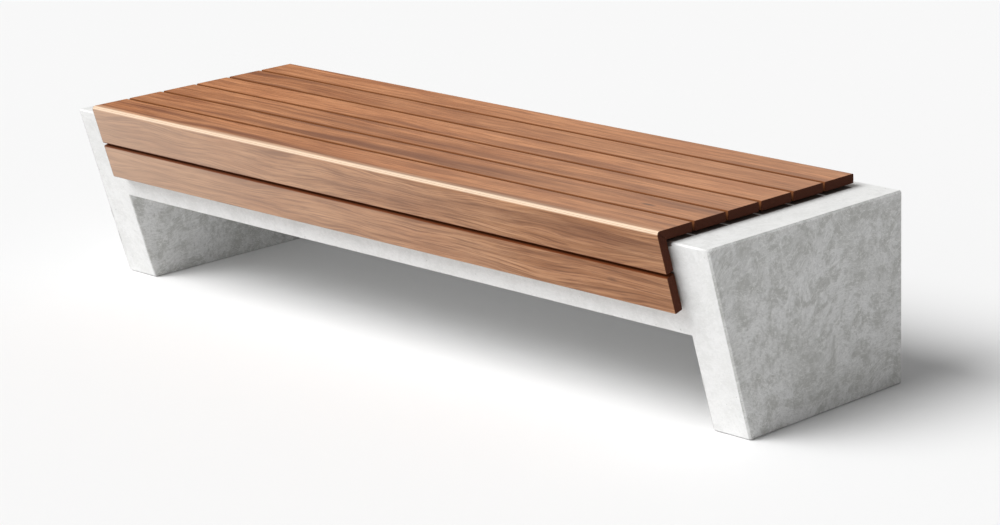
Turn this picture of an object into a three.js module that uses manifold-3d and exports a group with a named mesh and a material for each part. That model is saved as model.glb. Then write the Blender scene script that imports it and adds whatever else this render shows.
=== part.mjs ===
// A garden bench: one concrete casting with two slab legs, and a hardwood seat that covers the top
// of its slab and folds down over the leaning front. Four bent steel bearers stand between timber
// and concrete. The slats are screwed to the bearers from behind, the seat is slid on along the
// leaning front, and bolts from pockets in the slab's underside run up into tapped holes in the
// bearers.
//
// Millimetres. +X runs along the bench, +Y to the back and +Z up. The origin is on the ground, at
// the centre of the bench's outer box.

import * as THREE from "three";
import { mergeVertices } from "three/addons/utils/BufferGeometryUtils.js";
import Module from "manifold-3d";

const wasm = await Module();
wasm.setup();

// ---- Driving dimensions -------------------------------------------------------------------------

const BENCH_LENGTH = 2000;
const SEAT_HEIGHT = 450; // ground to the top of the slats
const SLAB_DEPTH = 610; // top front edge of the concrete to its upright back
const LEG_THICKNESS = 100;
const CLEAR_HEIGHT = 216; // ground to the underside of the slab
const FRONT_LEAN = THREE.MathUtils.degToRad(16); // front face from upright, its foot set back
const ARRIS = 4; // chamfer on the edges of the concrete

const SLAT_LENGTH = 1800;
const SLAT_THICKNESS = 21;
const SLAT_GAP = 7;
const SLAT_WIDTH = 94; // the five plain slats of the top
const SLAT_EDGE_RADIUS = 3;
const PLAIN_TOP_SLATS = 5;
const TOP_NOSE_WIDTH = 104; // both nose slats are measured from their sharp outer corner
const FRONT_NOSE_WIDTH = 97;
const FRONT_LOWER_WIDTH = 83;
const NOSE_RADIUS = 8; // rounding that the two mitred slats share
const MITRE_JOINT = 0.5; // open glue line between them

const BEARER_THICKNESS = 6;
const BEARER_WIDTH = 40;
const BEARER_END_SETBACK = 14; // its ends stay this far inside the outer slats' edges
const BEARER_X = [-780, -260, 260, 780];
const BEND_RADIUS = 8; // outside of the bend
const TOUCH = 0.3; // gap between faces that rest on each other

const SCREW_LENGTH = 20;
const SCREW_RADIUS = 2.5;
const SCREW_HEAD_RADIUS = 4.6;
const SCREW_HEAD_HEIGHT = 2.6;
const SCREW_TIP = 4;

const BOLT_RADIUS = 5;
const BOLT_Y = [150, 455]; // from the top front edge of the concrete, clear of the slat screws
const BOLT_HEAD_HEIGHT = 8;
const BOLT_ACROSS_FLATS = 16;
const BOLT_FLANGE_RADIUS = 11;
const BOLT_FLANGE_HEIGHT = 2.5;
const BOLT_PLAY = 1; // all round, in the concrete
const POCKET_RADIUS = 18; // room for a socket wrench
const POCKET_DEPTH = 34;

const LIFTING_X = [-520, 520];
const LIFTING_Y = 300;
const LIFTING_LENGTH = 90;
const LIFTING_OUTER_RADIUS = 12;
const LIFTING_BORE_RADIUS = 8;
const LIFTING_BORE_DEPTH = 70;

const ROUND_SIDES = 12;
const SMALL_ROUND_SIDES = 8;
const PAST = 1; // how far a cutting tool runs beyond the face it cuts

// ---- Sizes that follow --------------------------------------------------------------------------

const STAND_OFF = BEARER_THICKNESS + 2 * TOUCH; // concrete to timber
const SLAB_TOP = SEAT_HEIGHT - SLAT_THICKNESS - STAND_OFF;
const CORNER_HALF_ANGLE = (Math.PI / 2 - FRONT_LEAN) / 2;
// In a corner of this angle, how far along one face a point lies for each millimetre of depth.
const ALONG_PER_DEPTH = 1 / Math.tan(CORNER_HALF_ANGLE);
const SEAT_CORNER_Y = -(SLAT_THICKNESS + STAND_OFF) * ALONG_PER_DEPTH;
const SEAT_FRONT_Y = SEAT_CORNER_Y + NOSE_RADIUS * (ALONG_PER_DEPTH - 1);
const BOX_CENTRE_Y = (SEAT_FRONT_Y + SLAB_DEPTH) / 2;
const INNER_LEG_X = BENCH_LENGTH / 2 - LEG_THICKNESS;
const SCREW_HOLE_RADIUS = SCREW_RADIUS + TOUCH;
const SCREW_HEAD_Z = -(SLAT_THICKNESS + TOUCH + BEARER_THICKNESS); // below the seat's outer face
// Turns what is drawn for the top face to the same place on the front face. The front face's own y
// runs up to the corner, so a distance down it is a negative y.
const toFrontFace = new THREE.Matrix4().makeRotationX(Math.PI / 2 + FRONT_LEAN);
const BOLT_SEAT_Z = CLEAR_HEIGHT + POCKET_DEPTH;

// Each slat's edges across the seat, measured from the seat's sharp outer corner.
const TOP_SLATS = [{ name: "top_slat_1_nose", from: 0, to: TOP_NOSE_WIDTH }];
for (let i = 0; i < PLAIN_TOP_SLATS; i++) {
  const from = TOP_NOSE_WIDTH + SLAT_GAP + i * (SLAT_WIDTH + SLAT_GAP);
  TOP_SLATS.push({ name: `top_slat_${i + 2}`, from, to: from + SLAT_WIDTH });
}
const lowerFrom = FRONT_NOSE_WIDTH + SLAT_GAP;
const FRONT_SLATS = [
  { name: "front_slat_upper_nose", from: 0, to: FRONT_NOSE_WIDTH },
  { name: "front_slat_lower", from: lowerFrom, to: lowerFrom + FRONT_LOWER_WIDTH },
];

// ---- Materials ----------------------------------------------------------------------------------

const concrete = new THREE.MeshStandardMaterial({ color: 0xc9c9c6, roughness: 0.9, metalness: 0 });
const timber = new THREE.MeshStandardMaterial({ color: 0xa06a48, roughness: 0.55, metalness: 0 });
const bearerSteel = new THREE.MeshStandardMaterial({ color: 0x8d9092, roughness: 0.5, metalness: 1 });
const fastenerSteel = new THREE.MeshStandardMaterial({ color: 0xb5b7b8, roughness: 0.3, metalness: 1 });

// ---- Solids and booleans ------------------------------------------------------------------------

function toSolid(geometry) {
  const bare = geometry.index ? geometry.toNonIndexed() : geometry.clone();
  bare.deleteAttribute("normal");
  bare.deleteAttribute("uv");
  const merged = mergeVertices(bare, 1e-3);
  return new wasm.Manifold(
    new wasm.Mesh({
      numProp: 3,
      vertProperties: merged.attributes.position.array,
      triVerts: new Uint32Array(merged.index.array),
    }),
  );
}

function toGeometry(solid) {
  const { vertProperties, triVerts } = solid.getMesh();
  const geometry = new THREE.BufferGeometry();
  geometry.setAttribute("position", new THREE.BufferAttribute(vertProperties, 3));
  geometry.setIndex(new THREE.BufferAttribute(triVerts, 1));
  return geometry;
}

function cut(geometry, tools) {
  return toGeometry(tools.reduce((solid, tool) => solid.subtract(toSolid(tool)), toSolid(geometry)));
}

function join(geometry, others) {
  return toGeometry(others.reduce((solid, other) => solid.add(toSolid(other)), toSolid(geometry)));
}

// A shape drawn in (y, z) becomes a bar along X, centred on x = 0, its ends chamfered.
function barAlongX(shape, length, { endChamfer = 0, curveSegments = 3 } = {}) {
  const geometry = new THREE.ExtrudeGeometry(shape, {
    depth: length - 2 * endChamfer,
    curveSegments,
    bevelEnabled: endChamfer > 0,
    bevelSegments: 1,
    bevelSize: endChamfer,
    bevelThickness: endChamfer,
    bevelOffset: -endChamfer,
  });
  geometry.translate(0, 0, endChamfer - length / 2);
  const x = new THREE.Vector3(1, 0, 0);
  const y = new THREE.Vector3(0, 1, 0);
  const z = new THREE.Vector3(0, 0, 1);
  return geometry.applyMatrix4(new THREE.Matrix4().makeBasis(y, z, x));
}

// A solid of revolution standing on Z. The profile is [radius, z] pairs from axis to axis, upwards.
function turned(profile, sides) {
  const points = profile.map(([radius, z]) => new THREE.Vector2(radius, z));
  return new THREE.LatheGeometry(points, sides).rotateX(Math.PI / 2);
}

function rod(radius, bottom, top, sides) {
  return turned([[0, bottom], [radius, bottom], [radius, top], [0, top]], sides);
}

// ---- Concrete casting ---------------------------------------------------------------------------

// The side view: leaning front, upright back, each corner cut off by the arris.
function sideOutline() {
  const corners = [
    [SLAB_TOP * Math.tan(FRONT_LEAN), 0],
    [SLAB_DEPTH, 0],
    [SLAB_DEPTH, SLAB_TOP],
    [0, SLAB_TOP],
  ].map(([y, z]) => new THREE.Vector2(y, z));
  const outline = corners.flatMap((corner, i) => {
    const before = corners.at(i - 1).clone().sub(corner).setLength(ARRIS);
    const after = corners[(i + 1) % corners.length].clone().sub(corner).setLength(ARRIS);
    return [corner.clone().add(before), corner.clone().add(after)];
  });
  return new THREE.Shape(outline);
}

function boltHoles() {
  const radius = BOLT_RADIUS + BOLT_PLAY;
  return BEARER_X.flatMap((x) =>
    BOLT_Y.flatMap((y) => [
      rod(radius, CLEAR_HEIGHT, SLAB_TOP + PAST, SMALL_ROUND_SIDES).translate(x, y, 0),
      rod(POCKET_RADIUS, CLEAR_HEIGHT - PAST, BOLT_SEAT_Z, ROUND_SIDES).translate(x, y, 0),
    ]),
  );
}

function liftingHoles() {
  const bottom = SLAB_TOP - LIFTING_LENGTH - TOUCH;
  return LIFTING_X.map((x) =>
    rod(LIFTING_OUTER_RADIUS + TOUCH, bottom, SLAB_TOP + PAST, ROUND_SIDES).translate(x, LIFTING_Y, 0),
  );
}

function concreteFrame() {
  const block = barAlongX(sideOutline(), BENCH_LENGTH, { endChamfer: ARRIS });
  const underSeat = new THREE.BoxGeometry(2 * INNER_LEG_X, SLAB_DEPTH + 2 * PAST, CLEAR_HEIGHT + PAST)
    .translate(0, SLAB_DEPTH / 2, (CLEAR_HEIGHT - PAST) / 2);
  return cut(block, [underSeat, ...boltHoles(), ...liftingHoles()]);
}

function liftingSocket() {
  const boreBottom = SLAB_TOP - LIFTING_BORE_DEPTH;
  return turned(
    [
      [0, SLAB_TOP - LIFTING_LENGTH],
      [LIFTING_OUTER_RADIUS, SLAB_TOP - LIFTING_LENGTH],
      [LIFTING_OUTER_RADIUS, SLAB_TOP],
      [LIFTING_BORE_RADIUS, SLAB_TOP],
      [LIFTING_BORE_RADIUS, boreBottom],
      [0, boreBottom],
    ],
    ROUND_SIDES,
  );
}

// ---- Slats --------------------------------------------------------------------------------------
// A slat is drawn lying flat: y across it, its outer face at z = 0 and its back at -SLAT_THICKNESS.

function plainOutline(from, to) {
  const r = SLAT_EDGE_RADIUS;
  const bottom = -SLAT_THICKNESS;
  const shape = new THREE.Shape();
  shape.absarc(from + r, bottom + r, r, Math.PI, 1.5 * Math.PI);
  shape.absarc(to - r, bottom + r, r, 1.5 * Math.PI, 2 * Math.PI);
  shape.absarc(to - r, -r, r, 0, 0.5 * Math.PI);
  shape.absarc(from + r, -r, r, 0.5 * Math.PI, Math.PI);
  return shape;
}

// A slat whose edge at y = 0 is mitred into the next face and rounded with it.
function noseOutline(width) {
  const r = SLAT_EDGE_RADIUS;
  const bottom = -SLAT_THICKNESS;
  const halfJoint = MITRE_JOINT / 2;
  const mitreFoot = SLAT_THICKNESS * ALONG_PER_DEPTH + halfJoint / Math.sin(CORNER_HALF_ANGLE);
  const mitreAngle = Math.PI - CORNER_HALF_ANGLE - halfJoint / NOSE_RADIUS;
  const shape = new THREE.Shape();
  shape.absarc(width - r, bottom + r, r, 1.5 * Math.PI, 2 * Math.PI);
  shape.absarc(width - r, -r, r, 0, 0.5 * Math.PI);
  shape.absarc(NOSE_RADIUS * ALONG_PER_DEPTH, -NOSE_RADIUS, NOSE_RADIUS, 0.5 * Math.PI, mitreAngle);
  shape.lineTo(mitreFoot, bottom);
  return shape;
}

function slatCentre({ from, to }) {
  const clearOfMitre = from === 0 ? SLAT_THICKNESS * ALONG_PER_DEPTH : 0;
  return (from + clearOfMitre + to) / 2;
}

function slat(span) {
  const outline = span.from === 0 ? noseOutline(span.to) : plainOutline(span.from, span.to);
  const board = barAlongX(outline, SLAT_LENGTH);
  const pilotTop = SCREW_HEAD_Z + SCREW_LENGTH + TOUCH;
  const pilots = BEARER_X.map((x) =>
    rod(SCREW_HOLE_RADIUS, -SLAT_THICKNESS - PAST, pilotTop, SMALL_ROUND_SIDES)
      .translate(x, slatCentre(span), 0),
  );
  return cut(board, pilots);
}

// Drawn point up, its head flush with the bearer's face on the concrete.
function screw() {
  return turned(
    [
      [0, 0],
      [SCREW_HEAD_RADIUS, 0],
      [SCREW_RADIUS, SCREW_HEAD_HEIGHT],
      [SCREW_RADIUS, SCREW_LENGTH - SCREW_TIP],
      [0, SCREW_LENGTH],
    ],
    SMALL_ROUND_SIDES,
  );
}

// ---- Bearers ------------------------------------------------------------------------------------

// Points on the front face, given as distance down it and depth behind it, brought into (y, z).
function frontToSide(down, depth) {
  const y = down * Math.sin(FRONT_LEAN) + depth * Math.cos(FRONT_LEAN);
  const z = -down * Math.cos(FRONT_LEAN) + depth * Math.sin(FRONT_LEAN);
  return [y, z];
}

// The bent flat in side view, measured from the seat's sharp outer corner.
function bearerOutline() {
  const outer = SLAT_THICKNESS + TOUCH;
  const inner = outer + BEARER_THICKNESS;
  const topEnd = TOP_SLATS.at(-1).to - BEARER_END_SETBACK;
  const frontEnd = FRONT_SLATS.at(-1).to - BEARER_END_SETBACK;
  const shape = new THREE.Shape();
  shape.moveTo(inner * ALONG_PER_DEPTH, -inner);
  shape.lineTo(topEnd, -inner);
  shape.lineTo(topEnd, -outer);
  shape.absarc(
    (outer + BEND_RADIUS) * ALONG_PER_DEPTH,
    -outer - BEND_RADIUS,
    BEND_RADIUS,
    Math.PI / 2,
    Math.PI + FRONT_LEAN,
  );
  shape.lineTo(...frontToSide(frontEnd, outer));
  shape.lineTo(...frontToSide(frontEnd, inner));
  return shape;
}

// A screw hole with its countersink opening on the concrete side, drawn as the screw is.
function countersunkHole() {
  const headRadius = SCREW_HEAD_RADIUS + TOUCH;
  return turned(
    [
      [0, -PAST],
      [headRadius, -PAST],
      [headRadius, 0],
      [SCREW_HOLE_RADIUS, SCREW_HEAD_HEIGHT],
      [SCREW_HOLE_RADIUS, BEARER_THICKNESS + PAST],
      [0, BEARER_THICKNESS + PAST],
    ],
    SMALL_ROUND_SIDES,
  );
}

function bearer() {
  const flat = barAlongX(bearerOutline(), BEARER_WIDTH);
  const topHoles = TOP_SLATS.map((span) =>
    countersunkHole().translate(0, slatCentre(span), SCREW_HEAD_Z),
  );
  const frontHoles = FRONT_SLATS.map((span) =>
    countersunkHole().translate(0, -slatCentre(span), SCREW_HEAD_Z).applyMatrix4(toFrontFace),
  );
  const boltHoles = BOLT_Y.map((y) =>
    rod(BOLT_RADIUS + TOUCH, SCREW_HEAD_Z - PAST, PAST - SLAT_THICKNESS, SMALL_ROUND_SIDES)
      .translate(0, y - SEAT_CORNER_Y, 0),
  );
  return cut(flat, [...topHoles, ...frontHoles, ...boltHoles]);
}

// A hexagon bolt with a flange under its head, pointing up. The flange's bearing face is at z = 0
// and the tip is flush with the top of the bearer.
function flangeBolt() {
  const hexRadius = BOLT_ACROSS_FLATS / Math.sqrt(3);
  const tip = SEAT_HEIGHT - SLAT_THICKNESS - TOUCH - BOLT_SEAT_Z;
  const hexagon = rod(hexRadius, -BOLT_HEAD_HEIGHT, -BOLT_FLANGE_HEIGHT / 2, 6);
  const flange = rod(BOLT_FLANGE_RADIUS, -BOLT_FLANGE_HEIGHT, 0, ROUND_SIDES);
  const shank = rod(BOLT_RADIUS, -BOLT_FLANGE_HEIGHT / 2, tip, SMALL_ROUND_SIDES);
  return join(hexagon, [flange, shank]);
}

// ---- Assembly -----------------------------------------------------------------------------------

function named(name, geometry, material) {
  const mesh = new THREE.Mesh(geometry, material);
  mesh.name = name;
  return mesh;
}

const bench = new THREE.Group();
bench.position.y = -BOX_CENTRE_Y;
bench.add(named("concrete_frame", concreteFrame(), concrete));

LIFTING_X.forEach((x, i) => {
  const socket = named(`lifting_socket_${i + 1}`, liftingSocket(), fastenerSteel);
  socket.position.set(x, LIFTING_Y, 0);
  bench.add(socket);
});

// Both faces of the seat start at its sharp outer corner.
const topFace = new THREE.Group();
const frontFace = new THREE.Group();
topFace.position.set(0, SEAT_CORNER_Y, SEAT_HEIGHT);
frontFace.position.copy(topFace.position);
frontFace.rotation.setFromRotationMatrix(toFrontFace);
bench.add(topFace, frontFace);

// side is 1 where the slats run back from the corner and -1 where they run down from it.
function addSlats(face, spans, side) {
  for (const span of spans) {
    const board = named(span.name, slat(span), timber);
    if (side < 0) board.rotation.z = Math.PI; // turned end for end: the mitre faces the corner
    face.add(board);
    BEARER_X.forEach((x, i) => {
      const fixing = named(`screw_${span.name}_${i + 1}`, screw(), fastenerSteel);
      fixing.position.set(x, side * slatCentre(span), SCREW_HEAD_Z);
      face.add(fixing);
    });
  }
}
addSlats(topFace, TOP_SLATS, 1);
addSlats(frontFace, FRONT_SLATS, -1);

BEARER_X.forEach((x, i) => {
  const bar = named(`bearer_${i + 1}`, bearer(), bearerSteel);
  bar.position.x = x;
  topFace.add(bar);
  BOLT_Y.forEach((y, j) => {
    const bolt = named(`seat_bolt_${i + 1}_${j ? "rear" : "front"}`, flangeBolt(), fastenerSteel);
    bolt.position.set(x, y, BOLT_SEAT_Z - TOUCH);
    bench.add(bolt);
  });
});

export default bench;
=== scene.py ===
import math
import random

import bmesh
import bpy
from mathutils import Matrix, Vector, noise


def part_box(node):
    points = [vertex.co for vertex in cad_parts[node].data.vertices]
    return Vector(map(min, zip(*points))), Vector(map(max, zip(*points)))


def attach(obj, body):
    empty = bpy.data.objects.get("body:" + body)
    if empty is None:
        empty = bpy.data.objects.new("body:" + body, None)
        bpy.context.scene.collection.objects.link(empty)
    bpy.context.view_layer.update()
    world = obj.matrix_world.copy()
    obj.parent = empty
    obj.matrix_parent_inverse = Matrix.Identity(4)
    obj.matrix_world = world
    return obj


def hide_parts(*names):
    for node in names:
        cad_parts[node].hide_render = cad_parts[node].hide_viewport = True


# The finished surfaces of the garden bench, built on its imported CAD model. Metres, +Z up.
# Slats are swept again from the outlines of their CAD nodes, with eased ends and a slight waviness.
# The concrete is the CAD casting with its edges rounded and its faces and arrises a little uneven.
# Screws, bolts and sockets get threads and drives. The steel bearers keep their CAD shape.

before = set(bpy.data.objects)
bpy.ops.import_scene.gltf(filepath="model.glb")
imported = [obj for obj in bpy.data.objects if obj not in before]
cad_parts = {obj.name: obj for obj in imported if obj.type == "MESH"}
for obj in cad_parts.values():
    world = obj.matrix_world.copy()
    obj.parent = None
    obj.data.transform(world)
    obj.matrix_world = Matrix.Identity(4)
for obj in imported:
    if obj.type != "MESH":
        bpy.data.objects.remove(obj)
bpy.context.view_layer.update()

# ---- Sizes --------------------------------------------------------------------------------------

MM = 0.001
FRONT_LEAN = math.radians(16)
UP = Vector((0, 0, 1))
BACK = Vector((0, 1, 0))
OUT_OF_FRONT = Vector((0, -math.cos(FRONT_LEAN), -math.sin(FRONT_LEAN)))
DOWN_FRONT = Vector((0, math.sin(FRONT_LEAN), -math.cos(FRONT_LEAN)))
SLATS_LOW, SLATS_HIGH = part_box("top_slat_1_nose")

SAME_POINT = 0.001 * MM
TOUCHING = 0.01 * MM  # from a plane, for a point to count as lying on it
# Degrees that an edge turns by, from which it is shaded as sharp.
SHARP_TIMBER = 40
SHARP_CONCRETE = 50
SHARP_STEEL = 35

SLAT_STEP = 14 * MM  # between the rings of a swept slat
SLAT_FACE_STEP = 12 * MM  # between points across a slat's face
BESIDE_CORNER = 1.2 * MM
NEXT_TO_CORNER = 4 * MM
SLAT_END_RADIUS = 1.6 * MM
SLAT_END_STEPS = 4
SLAT_SAW_PLAY = 0.7 * MM  # how much shorter than the CAD slat an end may be sawn
SLAT_WAVINESS = 0.3 * MM
SLAT_WAVES = 5  # a metre
SLAT_APART = 7.3  # between the noise of one slat and the next, so that no two are alike
FLAT_FACING = (0.85, 0.95)  # cosine to a slat's own directions, from slanting to flat
SLANT_FACING = (0.85, 0.8)  # the same, from flat to slanting
MITRE_CLOSING = 0.25 * MM  # how far slanting faces swell, so that the mitred slats close their joint
PILOT_PLAY = 0.3 * MM  # between a screw and the hole that it sits in

HIGHLIGHT_WEAR_DEPTH = 12 * MM  # from the nose's front to the back of the pale strip, a painted highlight with some rubbing
HIGHLIGHT_WEAR_STARTS = (0.05 * MM, 0.4 * MM)  # below the top, from none to full
HIGHLIGHT_WEAR_ENDS = (8 * MM, 5 * MM)  # below the top, from none to full
SIDE_FACING = (0.1, 0.5)  # cosine to the direction across the slat, from its face to its side
EDGE_DUST_AND_SHADE = 0.75  # beside a slat's arris, where the dust and painted shade in the gap is 1; it also darkens the arris's own highlight
# A pale grey sheen is painted on the timber: the front's grows to its left, the top's to its right.
FRONT_SHEEN = (0.5, -1.0)  # along X, from none to full
TOP_SHEEN = (-0.9, 0.9)  # along X, from none to most
MOST_TOP_SHEEN = 0.45

CONCRETE_CHAMFER = 2 * MM
CONCRETE_ROUNDING = 0.8 * MM  # of the chamfer's own edges
CHAMFERED_FROM = (90 * MM, 60)  # the length and the turn in degrees, from which an edge is chamfered
ROUNDED_FROM = (60 * MM, 30)
SAME_FACE = math.radians(0.5)
SHADE_EDGE = 6 * MM  # over which the painted shade under the slats fades
SHADE_TOP = (12.4 * MM, 7.4 * MM)  # below the slab's top, from the front's painted shade to the top's
CONCRETE_STEP = 22 * MM
CONCRETE_WAVINESS = 0.35 * MM
CONCRETE_WAVES = 4  # a metre
ARRIS_CHIP = 1.4 * MM
CHIPS = 55  # a metre
CHIPPED = (0.62, 0.87)  # the unevenness, from a whole arris to a full chip
CHIPS_APART = 3.0  # between the noise of the chips and that of the waves
FLAT = 0.995  # cosine to the nearest face's direction, above which a point isn't on an arris

# ---- Meshes -------------------------------------------------------------------------------------


def cad(node):
    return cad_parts[node]


def nodes_named(start):
    return sorted(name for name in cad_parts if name.startswith(start))


def unevenness(point, per_metre, seed=0.0):
    """Smooth noise from 0 to 1 at a point, that repeats its hills about per_metre times a metre."""
    return 0.5 + 0.5 * noise.noise(Vector(point) * per_metre + Vector((seed, 0, 0)))


def smooth(mesh, sharp_from):
    mesh.polygons.foreach_set("use_smooth", [True] * len(mesh.polygons))
    mesh.set_sharp_from_angle(angle=math.radians(sharp_from))


def keep_faces_flat(piece):
    """Lets the large flat faces set the normals, so that rounded edges don't shade into them."""
    modifier = piece.modifiers.new("flat faces", "WEIGHTED_NORMAL")
    modifier.keep_sharp = True
    modifier.weight = 90


def piece_of(name, mesh, node, materials):
    piece = bpy.data.objects.new(name, mesh)
    bpy.context.scene.collection.objects.link(piece)
    if not mesh.materials:
        for material in materials:
            mesh.materials.append(material)
    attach(piece, "root")
    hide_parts(node)
    return piece


def work_in(piece, modifier):
    """Makes a modifier's result the piece's mesh."""
    with bpy.context.temp_override(object=piece, active_object=piece):
        bpy.ops.object.modifier_apply(modifier=modifier.name)


# ---- Slats --------------------------------------------------------------------------------------


def end_outline(node):
    """The outline of a CAD slat's end, as 2-D (y, z) points in order round it."""
    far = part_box(node)[1].x
    ends = [v.co for v in cad(node).data.vertices if v.co.x > far - TOUCHING]
    points = [Vector(p) for p in {(round(end.y, 6), round(end.z, 6)) for end in ends}]
    middle = sum(points, Vector((0, 0))) / len(points)
    return sorted(points, key=lambda p: math.atan2(p.y - middle.y, p.x - middle.x))


def outline_with_steps(points):
    """The outline with its long sides divided evenly, and two points close beside each corner."""
    divided = []
    for i, start in enumerate(points):
        divided.append(start)
        side = points[(i + 1) % len(points)] - start
        if side.length < 3 * NEXT_TO_CORNER:
            continue
        steps = round(side.length / SLAT_FACE_STEP)
        even = (NEXT_TO_CORNER + (side.length - 2 * NEXT_TO_CORNER) * k / steps for k in range(steps + 1))
        distances = [BESIDE_CORNER, *even, side.length - BESIDE_CORNER]
        divided += [start + side.normalized() * distance for distance in distances]
    return divided


def outward(points):
    """The outward direction at each point of an outline that runs anticlockwise, as 3-D vectors."""
    normals = []
    for i, point in enumerate(points):
        along = (points[(i + 1) % len(points)] - point).normalized() + (point - points[i - 1]).normalized()
        normals.append(Vector((0, along.y, -along.x)).normalized())
    return normals


def stations(half_length):
    """(x, inset) of each ring of a slat: close together on its rounded ends, then evenly spaced."""
    eased = []
    for k in range(SLAT_END_STEPS + 1):
        angle = math.pi / 2 * k / SLAT_END_STEPS
        inset = SLAT_END_RADIUS * (1 - math.sin(angle))
        eased.append((half_length - SLAT_END_RADIUS * (1 - math.cos(angle)), inset))
    flat = 2 * (half_length - SLAT_END_RADIUS)
    count = round(flat / SLAT_STEP)
    between = [(-flat / 2 + flat * k / count, 0.0) for k in range(1, count)]
    return [(-x, inset) for x, inset in eased] + between + eased[::-1]


def ramp(value, low, high):
    """0 up to low, 1 from high on, and even in between."""
    return min(1.0, max(0.0, (value - low) / (high - low)))


def nose_highlight_wear(place):
    """How pale a point of the nose slats is painted, for a painted highlight with some rubbing: fully on
    the rounding, from a sharp line on the top.
    """
    if place.y > SLATS_LOW.y + HIGHLIGHT_WEAR_DEPTH:
        return 0.0
    below_top = SLATS_HIGH.z - place.z
    return ramp(below_top, *HIGHLIGHT_WEAR_STARTS) * ramp(below_top, *HIGHLIGHT_WEAR_ENDS)


def dust_and_shade(normal, across, edge_distance, outermost):
    """How much of the gaps' dark dust and painted shade lies here: all of it on a slat's sides, less
    beside its arrises.
    """
    if outermost and normal.dot(across) > 0:
        return 0.0
    on_edge = EDGE_DUST_AND_SHADE * ramp(edge_distance, NEXT_TO_CORNER, BESIDE_CORNER)
    return max(on_edge, ramp(abs(normal.dot(across)), *SIDE_FACING))


def painted_sheen(x, across):
    """How much pale grey sheen is painted on the timber at x. The front has more at its left, the top at
    its right.
    """
    if across == DOWN_FRONT:
        return ramp(x, *FRONT_SHEEN)
    return MOST_TOP_SHEEN * ramp(x, *TOP_SHEEN)


def mark_layers(builder):
    """The vertex attributes that the timber's material reads."""
    layers = {"grain": builder.verts.layers.float_vector.new("grain")}
    for name in ("highlight_wear", "gap", "painted_sheen_share", "front", "board"):
        layers[name] = builder.verts.layers.float.new(name)
    return layers


def slat_rings(builder, name, across, seed):
    """The rings of a slat's points, each with its place in the slat, its pale nose (painted highlight and
    rubbing) and its dark dust with painted shade.
    """
    low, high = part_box(name)
    draw = random.Random(seed)
    half_length = (high.x - low.x) / 2
    sawn = {-1: SLAT_SAW_PLAY * draw.random(), 1: SLAT_SAW_PLAY * draw.random()}
    through = across.cross(Vector((1, 0, 0)))
    corner = Vector((0, SLATS_LOW.y, SLATS_HIGH.z))
    points = outline_with_steps(end_outline(name))
    places_across = [across.dot((0, *point)) for point in points]
    normals = outward(points)
    outermost = name in (nodes_named("top_slat")[-1], nodes_named("front_slat")[0])
    marks = mark_layers(builder)
    rings = []
    for x, inset in stations(half_length):
        side = 1 if x > 0 else -1
        sawn_x = x - side * sawn[side] * abs(x) / half_length
        ring = []
        for point, normal, place_across in zip(points, normals, places_across):
            wave = SLAT_WAVINESS * unevenness((x, point.x, point.y), SLAT_WAVES, seed * SLAT_APART)
            facing = max(abs(normal.dot(across)), abs(normal.dot(through)))
            moved = wave * ramp(facing, *FLAT_FACING) - MITRE_CLOSING * ramp(facing, *SLANT_FACING)
            place = Vector((sawn_x, point.x, point.y)) - normal * (inset + moved)
            # The nose's pale strip: painted highlight and some rubbing
            highlit_worn = nose_highlight_wear(place) if "nose" in name else 0.0
            edge_distance = min(place_across - min(places_across), max(places_across) - place_across)
            vert = builder.verts.new(place)
            from_corner = place - corner
            vert[marks["grain"]] = Vector((x, across.dot(from_corner), through.dot(from_corner)))
            vert[marks["highlight_wear"]] = highlit_worn
            vert[marks["gap"]] = 0.0 if highlit_worn else dust_and_shade(normal, across, edge_distance, outermost)
            vert[marks["painted_sheen_share"]] = painted_sheen(x, across)
            vert[marks["front"]] = across == DOWN_FRONT
            vert[marks["board"]] = seed
            ring.append(vert)
        rings.append(ring)
    return rings


def slat_mesh(name, across, seed):
    """A slat swept from its CAD outline. Its rounded ends have the second material, the end grain."""
    builder = bmesh.new()
    rings = slat_rings(builder, name, across, seed)
    last = len(rings) - 1
    for k in range(last):
        near, far = rings[k], rings[k + 1]
        end_grain = min(k, last - 1 - k) < SLAT_END_STEPS
        for i in range(len(near)):
            j = (i + 1) % len(near)
            face = builder.faces.new((near[i], near[j], far[j], far[i]))
            face.material_index = 1 if end_grain else 0
    for cap in (rings[0][::-1], rings[-1]):
        builder.faces.new(cap).material_index = 1
    bmesh.ops.recalc_face_normals(builder, faces=builder.faces)
    mesh = bpy.data.meshes.new(name + "_timber")
    builder.to_mesh(mesh)
    builder.free()
    return mesh


def swollen_copy(node, play):
    """A solid a little larger than a CAD node, to cut its seat out of its neighbour."""
    builder = bmesh.new()
    builder.from_mesh(cad(node).data)
    bmesh.ops.remove_doubles(builder, verts=builder.verts, dist=SAME_POINT)
    builder.normal_update()
    for vert in builder.verts:
        vert.co += vert.normal * play
    mesh = bpy.data.meshes.new("cutter")
    builder.to_mesh(mesh)
    builder.free()
    cutter = bpy.data.objects.new("cutter", mesh)
    bpy.context.scene.collection.objects.link(cutter)
    return cutter


def bore_for(piece, nodes, play):
    """Cuts the seats of these CAD nodes out of a piece."""
    for node in nodes:
        cutter = swollen_copy(node, play)
        modifier = piece.modifiers.new("seat", "BOOLEAN")
        modifier.operation = "DIFFERENCE"
        modifier.solver = "EXACT"
        modifier.object = cutter
        work_in(piece, modifier)
        bpy.data.objects.remove(cutter)


def build_slats(timber, end_grain):
    slats = [(name, BACK) for name in nodes_named("top_slat")]
    slats += [(name, DOWN_FRONT) for name in nodes_named("front_slat")]
    for seed, (name, across) in enumerate(slats):
        mesh = slat_mesh(name, across, seed)
        piece = piece_of(name + "_timber", mesh, name, [timber, end_grain])
        bore_for(piece, nodes_named(f"screw_{name}_"), PILOT_PLAY)
        smooth(piece.data, SHARP_TIMBER)
        keep_faces_flat(piece)


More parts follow.
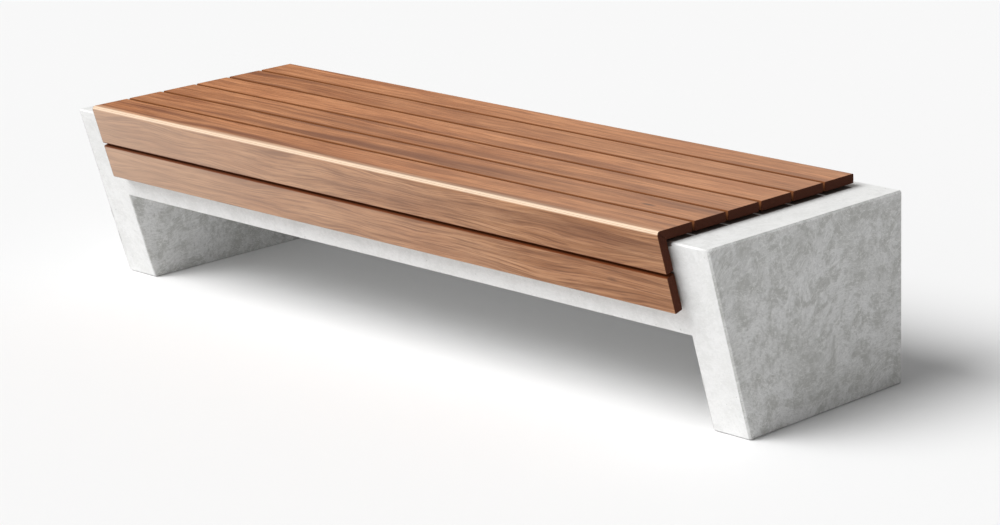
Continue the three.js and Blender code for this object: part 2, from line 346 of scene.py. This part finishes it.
# ---- Concrete -----------------------------------------------------------------------------------


def long_edges(builder, shortest, least_turn):
    """The convex edges of a solid that are long and turn by more than least_turn degrees."""
    chosen = []
    for edge in builder.edges:
        if not edge.is_manifold or not edge.is_convex or edge.calc_length() < shortest:
            continue
        if math.degrees(edge.calc_face_angle(0)) > least_turn:
            chosen.append(edge)
    return chosen


def cut_into_grid(builder, low, high, step):
    """Divides a solid's faces by evenly spaced planes square to each axis."""
    for axis in range(3):
        normal = Vector((axis == 0, axis == 1, axis == 2))
        count = round((high[axis] - low[axis]) / step)
        for k in range(1, count):
            place = Vector(low)
            place[axis] = low[axis] + (high[axis] - low[axis]) * k / count
            everything = builder.verts[:] + builder.edges[:] + builder.faces[:]
            bmesh.ops.bisect_plane(
                builder, geom=everything, dist=TOUCHING, plane_co=place, plane_no=normal
            )


def roughen_concrete(builder):
    """Moves points a little inwards: long shallow waves on the faces, small losses on the arrises."""
    low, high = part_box("concrete_frame")
    moves = []
    for vert in builder.verts:
        flatness = max(abs(c) for c in (*vert.normal, vert.normal.dot(OUT_OF_FRONT)))
        wave = CONCRETE_WAVINESS * unevenness(vert.co, CONCRETE_WAVES)
        lost = ramp(unevenness(vert.co, CHIPS, CHIPS_APART), *CHIPPED)
        chip = ARRIS_CHIP * lost if flatness < FLAT else 0.0
        moves.append(vert.normal * -(wave + chip))
    for vert, move in zip(builder.verts, moves):
        vert.co += move
        vert.co = [min(max(vert.co[i], low[i]), high[i]) for i in range(3)]


def build_concrete(concrete):
    builder = bmesh.new()
    builder.from_mesh(cad("concrete_frame").data)
    bmesh.ops.remove_doubles(builder, verts=builder.verts, dist=SAME_POINT)
    bmesh.ops.dissolve_limit(builder, angle_limit=SAME_FACE, verts=builder.verts, edges=builder.edges)
    bmesh.ops.bevel(
        builder, geom=long_edges(builder, *CHAMFERED_FROM), offset=CONCRETE_CHAMFER, segments=1,
        affect="EDGES", clamp_overlap=True,
    )
    bmesh.ops.bevel(
        builder, geom=long_edges(builder, *ROUNDED_FROM), offset=CONCRETE_ROUNDING, segments=3,
        profile=0.5, affect="EDGES", clamp_overlap=True,
    )
    low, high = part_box("concrete_frame")
    cut_into_grid(builder, low, high, CONCRETE_STEP)
    bmesh.ops.recalc_face_normals(builder, faces=builder.faces)
    builder.normal_update()
    roughen_concrete(builder)
    mesh = bpy.data.meshes.new("concrete_casting")
    builder.to_mesh(mesh)
    builder.free()
    mesh.materials.clear()
    piece = piece_of("concrete_casting", mesh, "concrete_frame", [concrete])
    smooth(mesh, SHARP_CONCRETE)
    keep_faces_flat(piece)


# ---- Fixings ------------------------------------------------------------------------------------

SCREW_LENGTH = 20 * MM
SCREW_HEAD_RADIUS = 4.6 * MM
SCREW_SHANK_RADIUS = 2.5 * MM
BOLT_HEAD_HEIGHT = 8 * MM
BOLT_SHANK_RADIUS = 5 * MM
SOCKET_BORE_RADIUS = 8 * MM
SOCKET_BORE_DEPTH = 70 * MM
CUT_EDGE_ROUNDING = 0.6 * MM
CUT_EDGE_TURN = math.radians(50)  # the least that counts as a cut edge
SCREW_SIDES = 18
BOLT_SIDES = 24


def radial_mesh(name, rings, sides):
    """A closed solid round Z. Each ring is (z, radius), or (z, function of the angle)."""
    builder = bmesh.new()
    made = []
    for z, radius in rings:
        ring = []
        for i in range(sides):
            angle = 2 * math.pi * i / sides
            r = radius(angle) if callable(radius) else radius
            ring.append(builder.verts.new((r * math.cos(angle), r * math.sin(angle), z)))
        made.append(ring)
    for lower, upper in zip(made, made[1:]):
        for i in range(sides):
            j = (i + 1) % sides
            builder.faces.new((lower[i], lower[j], upper[j], upper[i]))
    builder.faces.new(made[0][::-1])
    builder.faces.new(made[-1])
    mesh = bpy.data.meshes.new(name)
    builder.to_mesh(mesh)
    builder.free()
    smooth(mesh, SHARP_STEEL)
    return mesh


def thread(low, high, core, crest, pitch, steps_per_turn=6):
    """Rings of a screw thread, its ridge climbing one pitch a turn."""

    def ridge(z):
        def radius(angle):
            phase = (z / pitch - angle / (2 * math.pi)) % 1
            return core + (crest - core) * (1 - abs(2 * phase - 1))
        return radius

    count = round((high - low) / pitch * steps_per_turn)
    heights = [low + (high - low) * k / count for k in range(count + 1)]
    return [(z, ridge(z)) for z in heights]


def lobed(mean, depth):
    return lambda angle: mean + depth * math.cos(6 * angle)


def hexagonal(across_flats):
    return lambda angle: across_flats / 2 / math.cos((angle + math.pi / 6) % (math.pi / 3) - math.pi / 6)


def screw_mesh(length, head_radius, shank_radius):
    """A countersunk wood screw, point up, with a six-lobed drive sunk in its head."""
    head = 2.6 * MM
    tip = 4 * MM
    drive = lobed(1.5 * MM, 0.2 * MM)
    shank = thread(head + 2.5 * MM, length - tip, shank_radius * 0.7, shank_radius * 0.98, 1.9 * MM)
    rings = [
        (1.4 * MM, lobed(1.2 * MM, 0.1 * MM)), (0.1 * MM, drive), (0.0, lobed(1.7 * MM, 0.2 * MM)),
        (0.0, head_radius * 0.97), (0.15 * MM, head_radius), (head, shank_radius * 0.95),
        (head + 1.8 * MM, shank_radius * 0.95), *shank,
        (length - tip / 2, shank_radius * 0.45), (length, 0.05 * MM),
    ]
    return radial_mesh("wood_screw", rings, SCREW_SIDES)


def bolt_mesh(length, head_height, flange_radius, shank_radius):
    """A flanged hexagon bolt standing on its head, threaded over its last 45 mm."""
    across_flats = 16 * MM
    flange = 2.5 * MM
    threaded = 45 * MM
    rings = [
        (0.0, across_flats / 2 * 0.9), (0.7 * MM, hexagonal(across_flats)),
        (head_height - flange, hexagonal(across_flats)), (head_height - flange, flange_radius * 0.8),
        (head_height - 0.9 * MM, flange_radius), (head_height, flange_radius * 0.98),
        (head_height, shank_radius), (length - threaded, shank_radius),
        *thread(length - threaded + 0.5 * MM, length - MM, shank_radius * 0.86, shank_radius, 1.5 * MM),
        (length, shank_radius * 0.84),
    ]
    return radial_mesh("flanged_bolt", rings, BOLT_SIDES)


def socket_mesh(length, outer, bore, bore_depth):
    """A cast-in lifting socket, open at the top, its bore threaded."""
    groove = [(0.0, 1.0), (0.04, 0.93), (0.1, 0.93), (0.14, 1.0)]
    grooves = [(start + along, width) for start in (0.2, 0.5) for along, width in groove]
    outside = [(length * share, outer * width) for share, width in grooves]
    inside = thread(length - bore_depth, length - 2 * MM, bore * 0.9, bore, 2 * MM, 4)
    rings = [
        (0.0, outer * 0.9), (MM, outer), *outside, (length - 0.5 * MM, outer), (length, outer - 0.5 * MM),
        (length, bore * 1.06), *inside[::-1],
    ]
    return radial_mesh("lifting_socket", rings, BOLT_SIDES)


def pointing(direction, origin):
    return Matrix.Translation(origin) @ UP.rotation_difference(direction).to_matrix().to_4x4()


def build_screws(steel):
    mesh = screw_mesh(SCREW_LENGTH, SCREW_HEAD_RADIUS, SCREW_SHANK_RADIUS)
    for name in nodes_named("screw_"):
        direction = OUT_OF_FRONT if "front" in name else UP
        tip = max((v.co for v in cad(name).data.vertices), key=direction.dot)
        piece = piece_of("wood_" + name, mesh, name, [steel])
        piece.matrix_world = pointing(direction, tip - direction * SCREW_LENGTH)


def build_bolts(steel):
    for name in nodes_named("seat_bolt"):
        low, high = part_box(name)
        middle = (low + high) / 2
        mesh = bolt_mesh(high.z - low.z, BOLT_HEAD_HEIGHT, (high.x - low.x) / 2, BOLT_SHANK_RADIUS)
        piece = piece_of("hexagon_" + name, mesh, name, [steel])
        piece.matrix_world = Matrix.Translation((middle.x, middle.y, low.z))


def build_sockets(steel):
    for name in nodes_named("lifting_socket"):
        low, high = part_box(name)
        middle = (low + high) / 2
        mesh = socket_mesh(high.z - low.z, (high.x - low.x) / 2, SOCKET_BORE_RADIUS, SOCKET_BORE_DEPTH)
        piece = piece_of("threaded_" + name, mesh, name, [steel])
        piece.matrix_world = Matrix.Translation((middle.x, middle.y, low.z))


def finish_bearers(steel):
    """The CAD bearers, with their cut edges broken."""
    for name in nodes_named("bearer"):
        node = cad(name)
        for slot in node.material_slots:
            slot.link = "OBJECT"
            slot.material = steel
        rounding = node.modifiers.new("broken edges", "BEVEL")
        rounding.width = CUT_EDGE_ROUNDING
        rounding.segments = 2
        rounding.limit_method = "ANGLE"
        rounding.angle_limit = CUT_EDGE_TURN
        rounding.harden_normals = True


# ---- Materials ----------------------------------------------------------------------------------

# How many features a metre the grain has along, across and through a slat.
GRAIN_DRIFT = (2.2, 9.0, 9.0)
GRAIN_FIGURE = (2.4, 85.0, 85.0)
GRAIN_BANDS = (0.9, 26.0, 26.0)
GRAIN_FIBRES = (9.0, 330.0, 330.0)
GRAIN_PORES = (26.0, 1100.0, 1100.0)
GRAIN_CLOUDS = (3.5, 12.0, 12.0)
GRAIN_KNOTS = (2.6, 8.0, 8.0)
NOWHERE = (0.0, 0.0, 0.0)  # leaves a noise that differs from slat to slat only
GROWTH_RINGS = 2600.0  # radians a metre

TIMBER_PALE = (0.66, 0.29, 0.125, 1)
TIMBER_MIDDLE = (0.47, 0.187, 0.07, 1)
TIMBER_DEEP = (0.19, 0.06, 0.022, 1)
TIMBER_CLOUD = (0.84, 0.76, 0.7, 1)  # multiplies the colour of the darker stretches
TIMBER_FRONT = (0.67, 0.79, 0.93, 1)  # multiplies the colour of the front's slats
# Pale grey of the painted sheen
TIMBER_SHEEN = (0.54, 0.40, 0.31, 1)
# Pale nose colour: a painted highlight on the rounding, with some rubbing
TIMBER_WORN_HIGHLIT = (0.82, 0.64, 0.47, 1)
KNOT = (0.05, 0.02, 0.012, 1)
# Dark dust with painted shade, for the slats' sides in the gaps
DUST_AND_SHADE_ON_TOP = (0.18, 0.065, 0.024, 1)
DUST_AND_SHADE_IN_FRONT = (0.12, 0.03, 0.01, 1)
END_GRAIN_LIGHT = (0.1, 0.028, 0.013, 1)
END_GRAIN_DARK = (0.05, 0.014, 0.007, 1)
END_GRAIN_PORE = (0.014, 0.005, 0.002, 1)

# How many features a metre the concrete's marks have.
CONCRETE_BENDS = 6.0
CONCRETE_CLOUDS = 6.0
CONCRETE_PATCHES = 26.0
CONCRETE_SWIRLS = 2.5
CONCRETE_STREAKS = 26.0
CONCRETE_FLECKS = 120.0
CONCRETE_GRIT = 600.0
CONCRETE_BUBBLES = 75.0
CONCRETE_BUBBLY_PARTS = 30.0
BEND_REACH = (0.09, 0.09, 0.09)
SWIRL_REACH = (0.4, 0.4, 0.4)
STREAKS_FLATTENED = (1.0, 1.0, 3.2)

# The top is painted lighter than the other faces, for the light falling on it
CONCRETE_SIDES_SHADED = (0.74, 0.74, 0.735, 1)
CONCRETE_TOP_LIT = (0.8, 0.8, 0.79, 1)
CONCRETE_CLOUD = (0.62, 0.62, 0.605, 1)
CONCRETE_PATCH = (0.5, 0.5, 0.48, 1)
CONCRETE_VEIN = (0.9, 0.9, 0.89, 1)
CONCRETE_SCORE = (0.42, 0.42, 0.4, 1)
CONCRETE_DARK_FLECK = (0.4, 0.4, 0.38, 1)
CONCRETE_LIGHT_FLECK = (0.95, 0.95, 0.94, 1)
CONCRETE_PIT = (0.25, 0.25, 0.24, 1)
# Dark brown painted shade, under the slats and just past their ends
CONCRETE_PAINTED_SHADE = (0.07, 0.04, 0.028, 1)

ZINC_DARK = (0.36, 0.37, 0.38, 1)
ZINC_LIGHT = (0.56, 0.57, 0.58, 1)
ZINC_HAZE = (0.62, 0.62, 0.61, 1)
STAINLESS_DARK = (0.55, 0.55, 0.54, 1)
STAINLESS_LIGHT = (0.68, 0.68, 0.67, 1)


class Shader:
    """A node material that is put together one node at a time."""

    def __init__(self, name):
        self.material = bpy.data.materials.new(name)
        self.material.use_nodes = True
        self.tree = self.material.node_tree
        self.surface = self.tree.nodes["Principled BSDF"]

    def put(self, node, socket, value):
        """Links a socket to another node's output, or sets its value."""
        if isinstance(value, bpy.types.NodeSocket):
            self.tree.links.new(value, node.inputs[socket])
        else:
            node.inputs[socket].default_value = value

    def add(self, kind, sockets, output=0, **settings):
        """One output of a new node."""
        node = self.tree.nodes.new("ShaderNode" + kind)
        for setting, value in settings.items():
            setattr(node, setting, value)
        for socket, value in sockets.items():
            self.put(node, socket, value)
        return node.outputs[output]

    def math(self, operation, a, b=0.0, c=0.0):
        return self.add("Math", {0: a, 1: b, 2: c}, operation=operation)

    def attribute(self, name, output):
        return self.add("Attribute", {}, output, attribute_name=name)

    def scaled(self, vector, factors):
        return self.add("VectorMath", {0: vector, 1: factors}, operation="MULTIPLY")

    def moved(self, vector, offset):
        return self.add("VectorMath", {0: vector, 1: offset}, operation="ADD")

    def noise(self, vector, scale, detail=3.0, roughness=0.5, seed=0.0):
        sockets = {"Vector": vector, "W": seed, "Scale": scale, "Detail": detail, "Roughness": roughness}
        return self.add("TexNoise", sockets, noise_dimensions="4D")

    def span(self, value, low, high, to_low=0.0, to_high=1.0):
        """The value's stretch from low to high, spread smoothly over to_low to to_high."""
        sockets = {"Value": value, "From Min": low, "From Max": high, "To Min": to_low, "To Max": to_high}
        return self.add("MapRange", sockets, interpolation_type="SMOOTHSTEP")

    def mix(self, factor, a, b, blend="MIX"):
        """The colour a, changed by b as far as the factor says."""
        return self.add("Mix", {0: factor, 6: a, 7: b}, 2, data_type="RGBA", blend_type=blend)

    def finish(self, color, roughness, height, bump, **uniform):
        """Fills in the surface. A value that is the same all over it is set on its own socket."""
        self.put(self.surface, "Base Color", color)
        self.put(self.surface, "Roughness", roughness)
        sockets = {"Height": height, "Distance": bump, "Strength": 1.0}
        self.put(self.surface, "Normal", self.add("Bump", sockets))
        for socket, value in uniform.items():
            self.surface.inputs[socket.replace("_", " ")].default_value = value
        return self.material


def timber_material():
    """Oiled hardwood: broad figure, fine fibres and short pores along the slat.

    The nose's rounding is pale with rubbing and a painted highlight, and the sides in the gaps are dark
    with damp, dust and painted shade.
    """
    s = Shader("oiled_hardwood")
    place = s.attribute("grain", 1)
    board = s.attribute("board", 2)
    front = s.attribute("front", 2)
    gap = s.attribute("gap", 2)
    seed = s.math("MULTIPLY", board, 3.7)

    drift = s.noise(s.scaled(place, GRAIN_DRIFT), 1.0, 2.0, seed=seed)
    shift = s.add("CombineXYZ", {1: s.math("MULTIPLY", s.math("SUBTRACT", drift, 0.5), 0.06)})
    wavy = s.moved(place, shift)
    figure = s.noise(s.scaled(wavy, GRAIN_FIGURE), 1.0, 4.0, 0.6, seed)
    bands = s.noise(s.scaled(wavy, GRAIN_BANDS), 1.0, 2.0, 0.5, seed)
    fibres = s.noise(s.scaled(wavy, GRAIN_FIBRES), 1.0, 3.0, 0.6, seed)
    pores = s.span(s.noise(s.scaled(wavy, GRAIN_PORES), 1.0, 1.0, 0.5, seed), 0.6, 0.72)
    clouds = s.noise(s.scaled(place, GRAIN_CLOUDS), 1.0, 3.0, 0.55, seed)
    knots = s.add("TexVoronoi", {"Vector": s.scaled(wavy, GRAIN_KNOTS), "Scale": 1.0})
    which_board = s.noise(s.scaled(place, NOWHERE), 1.0, 0.0, 0.5, s.math("MULTIPLY", board, 11.3))
    tone = s.span(which_board, 0.3, 0.7, 0.93, 1.19)
    banded = s.math("MULTIPLY", s.span(front, 0.0, 1.0, 1.0, 0.5), s.span(bands, 0.48, 0.7, 0.0, 0.85))

    color = s.mix(s.span(figure, 0.36, 0.6), TIMBER_MIDDLE, TIMBER_PALE)
    color = s.mix(banded, color, TIMBER_DEEP)
    color = s.mix(s.span(fibres, 0.42, 0.66, 0.0, 0.65), color, TIMBER_DEEP)
    color = s.mix(s.math("MULTIPLY", pores, 0.5), color, TIMBER_DEEP)
    color = s.mix(s.span(clouds, 0.35, 0.7), color, TIMBER_CLOUD, "MULTIPLY")
    color = s.mix(1.0, color, s.add("CombineColor", {0: tone, 1: tone, 2: tone}), "MULTIPLY")
    color = s.mix(s.span(knots, 0.02, 0.075, 0.85, 0.0), color, KNOT)
    color = s.mix(front, color, s.mix(1.0, color, TIMBER_FRONT, "MULTIPLY"))
    # Paints the sheen that the light leaves on the timber
    color = s.mix(s.attribute("painted_sheen_share", 2), color, s.mix(0.55, color, TIMBER_SHEEN))
    # Paints the nose's highlight, with its rubbing, as a pale colour
    color = s.mix(s.math("MULTIPLY", s.attribute("highlight_wear", 2), 0.82), color, TIMBER_WORN_HIGHLIT)
    # Paints the shade in the gaps, with their dust, on the slats' sides and arrises
    color = s.mix(s.math("MULTIPLY", gap, 0.94), color, s.mix(front, DUST_AND_SHADE_ON_TOP, DUST_AND_SHADE_IN_FRONT))

    roughness = s.span(fibres, 0.2, 0.8, 0.4, 0.56)
    height = s.math("SUBTRACT", s.math("MULTIPLY", fibres, 0.6), pores)
    s.put(s.surface, "Specular IOR Level", s.span(gap, 0.0, 1.0, 0.36, 0.0))
    return s.finish(color, roughness, height, 0.12 * MM, IOR=1.48)


def end_grain_material():
    """Sawn and oiled end grain: very dark, with growth rings."""
    s = Shader("hardwood_end_grain")
    place = s.attribute("grain", 1)
    board = s.attribute("board", 2)
    pith = s.add("CombineXYZ", {1: s.math("MULTIPLY", board, 0.013), 2: 0.055})
    from_pith = s.moved(s.scaled(place, (0.0, 1.0, 1.0)), pith)
    radius = s.add("VectorMath", {0: from_pith}, 1, operation="LENGTH")
    wobble = s.math("MULTIPLY", s.noise(place, 60.0, 2.0), 5.0)
    rings = s.math("SINE", s.math("MULTIPLY_ADD", radius, GROWTH_RINGS, wobble))
    pores = s.noise(place, 900.0, 2.0)
    color = s.mix(s.span(rings, -1.0, 1.0), END_GRAIN_LIGHT, END_GRAIN_DARK)
    color = s.mix(s.span(pores, 0.5, 0.7, 0.0, 0.7), color, END_GRAIN_PORE)
    roughness = s.span(pores, 0.3, 0.7, 0.7, 0.85)
    return s.finish(color, roughness, pores, 0.1 * MM, Specular_IOR_Level=0.12)


def painted_shade_by_slats(s, place):
    """1 where shade is painted on the concrete under the slats and its shadow a little past the top slats'
    ends; 0 further off and under the gaps of the top.
    """
    low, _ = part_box("front_slat_lower")
    _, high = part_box(nodes_named("top_slat")[-1])
    slab_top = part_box("concrete_frame")[1].z
    x, y, z = (s.add("SeparateXYZ", {0: place}, i) for i in range(3))
    on_top = s.span(z, slab_top - SHADE_TOP[0], slab_top - SHADE_TOP[1])
    reach = s.math("MULTIPLY_ADD", on_top, 2 * SHADE_EDGE, high.x - 2 * SHADE_EDGE)
    along = s.span(s.math("SUBTRACT", s.math("ABSOLUTE", x), reach), 0.0, SHADE_EDGE, 1.0, 0.0)
    behind = s.span(y, high.y - 2 * SHADE_EDGE, high.y - SHADE_EDGE, 1.0, 0.0)
    above = s.span(z, low.z + SHADE_EDGE, low.z + 2 * SHADE_EDGE)
    second, third = (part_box(name)[0].y for name in nodes_named("top_slat")[1:3])
    pitch = third - second
    gap = (second - SLATS_HIGH.y) / pitch
    turn = s.math("FRACT", s.math("DIVIDE", s.math("SUBTRACT", y, SLATS_HIGH.y), pitch))
    under_slat = s.math("MAXIMUM", s.span(turn, gap * 0.8, gap), s.math("SUBTRACT", 1.0, on_top))
    cover = s.math("MULTIPLY", along, behind)
    return s.math("MULTIPLY", cover, s.math("MULTIPLY", above, under_slat))


def concrete_material():
    """Smooth cast concrete: clouds, patches, light and dark float marks and a few air bubbles.

    The faces cast against the ends of the mould are more mottled, and the top is painted lighter than the
    other faces, for the light on it.
    """
    s = Shader("cast_concrete")
    place = s.add("TexCoord", {}, 3)
    bend = s.add("TexNoise", {"Vector": place, "Scale": CONCRETE_BENDS, "Detail": 3.0}, 1)
    bent = s.moved(place, s.scaled(bend, BEND_REACH))
    clouds = s.noise(bent, CONCRETE_CLOUDS, 5.0, 0.6)
    patches = s.noise(bent, CONCRETE_PATCHES, 6.0, 0.68)
    swirl = s.add("TexNoise", {"Vector": place, "Scale": CONCRETE_SWIRLS, "Detail": 2.0}, 1)
    swirled = s.moved(bent, s.scaled(swirl, SWIRL_REACH))
    streaks = s.noise(s.scaled(swirled, STREAKS_FLATTENED), CONCRETE_STREAKS, 4.0, 0.66)
    veins = s.span(s.math("ABSOLUTE", s.math("SUBTRACT", streaks, 0.53)), 0.0, 0.022, 1.0, 0.0)
    scores = s.span(s.math("ABSOLUTE", s.math("SUBTRACT", streaks, 0.45)), 0.0, 0.016, 1.0, 0.0)
    flecks = s.noise(place, CONCRETE_FLECKS, 3.0, 0.75)
    grit = s.noise(place, CONCRETE_GRIT, 2.0, 0.7)
    bubbles = s.add("TexVoronoi", {"Vector": bent, "Scale": CONCRETE_BUBBLES, "Randomness": 1.0})
    bubbly = s.span(s.noise(place, CONCRETE_BUBBLY_PARTS, 1.0), 0.55, 0.62)
    pits = s.math("MULTIPLY", s.span(bubbles, 0.07, 0.13, 1.0, 0.0), bubbly)
    normal = s.add("TexCoord", {}, 1)
    mould_end = s.span(s.math("ABSOLUTE", s.add("SeparateXYZ", {0: normal})), 0.5, 0.8, 0.3, 1.0)
    lit_top = s.span(s.add("SeparateXYZ", {0: normal}, 2), 0.5, 0.8)

    # Painted light: the top gets the lighter colour
    base = s.mix(lit_top, CONCRETE_SIDES_SHADED, CONCRETE_TOP_LIT)
    mottled = s.mix(s.span(clouds, 0.4, 0.6, 0.0, 0.85), base, CONCRETE_CLOUD)
    mottled = s.mix(s.span(patches, 0.45, 0.6, 0.0, 0.85), mottled, CONCRETE_PATCH)
    mottled = s.mix(s.math("MULTIPLY", veins, 0.55), mottled, CONCRETE_VEIN)
    mottled = s.mix(s.math("MULTIPLY", scores, 0.5), mottled, CONCRETE_SCORE)
    mottled = s.mix(s.span(flecks, 0.52, 0.68, 0.0, 0.5), mottled, CONCRETE_DARK_FLECK)
    mottled = s.mix(s.span(flecks, 0.46, 0.3, 0.0, 0.5), mottled, CONCRETE_LIGHT_FLECK)
    color = s.mix(mould_end, base, mottled)
    color = s.mix(s.math("MULTIPLY", pits, 0.5), color, CONCRETE_PIT)
    # Paints the shade and shadow of the slats on the concrete
    color = s.mix(s.math("MULTIPLY", painted_shade_by_slats(s, place), 0.9), color, CONCRETE_PAINTED_SHADE)
    roughness = s.span(patches, 0.3, 0.7, 0.72, 0.86)
    waves = s.math("ADD", s.math("MULTIPLY", streaks, 0.5), s.math("MULTIPLY", grit, 0.08))
    return s.finish(color, roughness, s.math("SUBTRACT", waves, pits), 0.8 * MM)


def galvanised_material():
    """Hot-dip galvanised steel: dull zinc crystals of uneven tone."""
    s = Shader("galvanised_steel")
    place = s.add("TexCoord", {}, 3)
    crystals = s.add("TexVoronoi", {"Vector": place, "Scale": 130.0}, 1)
    tone = s.add("SeparateColor", {0: crystals})
    haze = s.noise(place, 40.0, 3.0)
    color = s.mix(s.span(tone, 0.0, 1.0), ZINC_DARK, ZINC_LIGHT)
    color = s.mix(s.span(haze, 0.5, 0.8, 0.0, 0.5), color, ZINC_HAZE)
    return s.finish(color, s.span(haze, 0.3, 0.7, 0.42, 0.6), tone, 0.03 * MM, Metallic=1.0)


def stainless_material():
    """Satin stainless steel with fine turning marks."""
    s = Shader("stainless_steel")
    place = s.add("TexCoord", {}, 3)
    marks = s.noise(s.scaled(place, (120.0, 120.0, 4000.0)), 1.0, 2.0)
    color = s.mix(s.span(marks, 0.3, 0.7), STAINLESS_DARK, STAINLESS_LIGHT)
    return s.finish(color, s.span(marks, 0.3, 0.7, 0.24, 0.36), marks, 0.01 * MM, Metallic=1.0)


# ---- Stage --------------------------------------------------------------------------------------

FLOOR_HALF = 40.0
FLOOR_ALBEDO = 0.85
SKY = 0.25  # radiance all round
GLOW = 0.58  # more radiance low in the front, where a wide soft light stands
TOWARDS_GLOW = Vector((-0.45, -0.87, 0.15)).normalized()
GLOW_EDGE = 0.4  # the cosine at which the glow ends
SUN = 3.25
TOWARDS_SUN = Vector((-0.44, -0.8, 1.03))
SUN_ANGLE = math.radians(40)

CAMERA_PLACE = Vector((4.894, -4.603, 2.026))
CAMERA_HEADING = -0.7363  # from +Y towards +X, radians
CAMERA_DOWN = 0.2407
CAMERA_ROLL = -0.0147
CAMERA_LENS = 111.5  # on a 36 mm wide sensor
CAMERA_SHIFT = (-0.2, -0.1)  # the picture is cut from the lower left of a wider one


def build_floor():
    half = FLOOR_HALF
    builder = bmesh.new()
    corners = [(-half, -half), (half, -half), (half, half), (-half, half)]
    builder.faces.new([builder.verts.new((x, y, 0)) for x, y in corners])
    mesh = bpy.data.meshes.new("floor")
    builder.to_mesh(mesh)
    builder.free()
    floor = bpy.data.objects.new("floor", mesh)
    bpy.context.scene.collection.objects.link(floor)
    material = bpy.data.materials.new("pale_floor")
    material.use_nodes = True
    surface = material.node_tree.nodes["Principled BSDF"]
    surface.inputs["Base Color"].default_value = (FLOOR_ALBEDO,) * 3 + (1,)
    surface.inputs["Roughness"].default_value = 1.0
    surface.inputs["Specular IOR Level"].default_value = 0.0
    mesh.materials.append(material)


def build_light():
    world = bpy.data.worlds.new("soft_sky")
    bpy.context.scene.world = world
    world.use_nodes = True
    tree = world.node_tree
    tree.nodes["Background"].inputs["Color"].default_value = (1, 1, 1, 1)
    direction = tree.nodes.new("ShaderNodeTexCoord")
    towards = tree.nodes.new("ShaderNodeVectorMath")
    towards.operation = "DOT_PRODUCT"
    towards.inputs[1].default_value = TOWARDS_GLOW
    radiance = tree.nodes.new("ShaderNodeMapRange")
    radiance.interpolation_type = "SMOOTHSTEP"
    radiance.inputs["From Min"].default_value = GLOW_EDGE
    radiance.inputs["To Min"].default_value = SKY
    radiance.inputs["To Max"].default_value = SKY + GLOW
    tree.links.new(direction.outputs["Generated"], towards.inputs[0])
    tree.links.new(towards.outputs["Value"], radiance.inputs["Value"])
    tree.links.new(radiance.outputs["Result"], tree.nodes["Background"].inputs["Strength"])
    sun = bpy.data.lights.new("key", "SUN")
    sun.energy = SUN
    sun.angle = SUN_ANGLE
    lamp = bpy.data.objects.new("key", sun)
    lamp.rotation_euler = TOWARDS_SUN.to_track_quat("Z", "Y").to_euler()
    bpy.context.scene.collection.objects.link(lamp)


def build_camera():
    data = bpy.data.cameras.new("camera")
    data.sensor_width = 36.0
    data.lens = CAMERA_LENS
    data.shift_x, data.shift_y = CAMERA_SHIFT
    data.clip_end = 200.0
    camera = bpy.data.objects.new("camera", data)
    camera.matrix_world = (
        Matrix.Translation(CAMERA_PLACE)
        @ Matrix.Rotation(-CAMERA_HEADING, 4, "Z")
        @ Matrix.Rotation(math.pi / 2 - CAMERA_DOWN, 4, "X")
        @ Matrix.Rotation(CAMERA_ROLL, 4, "Z")
    )
    bpy.context.scene.collection.objects.link(camera)
    bpy.context.scene.camera = camera


# ---- The bench ----------------------------------------------------------------------------------

bpy.context.scene.view_settings.view_transform = "Standard"
build_camera()
build_light()
build_floor()

build_slats(timber_material(), end_grain_material())
build_concrete(concrete_material())
stainless = stainless_material()
build_screws(stainless)
build_bolts(stainless)
build_sockets(stainless)
finish_bearers(galvanised_material())

bpy.context.view_layer.update()
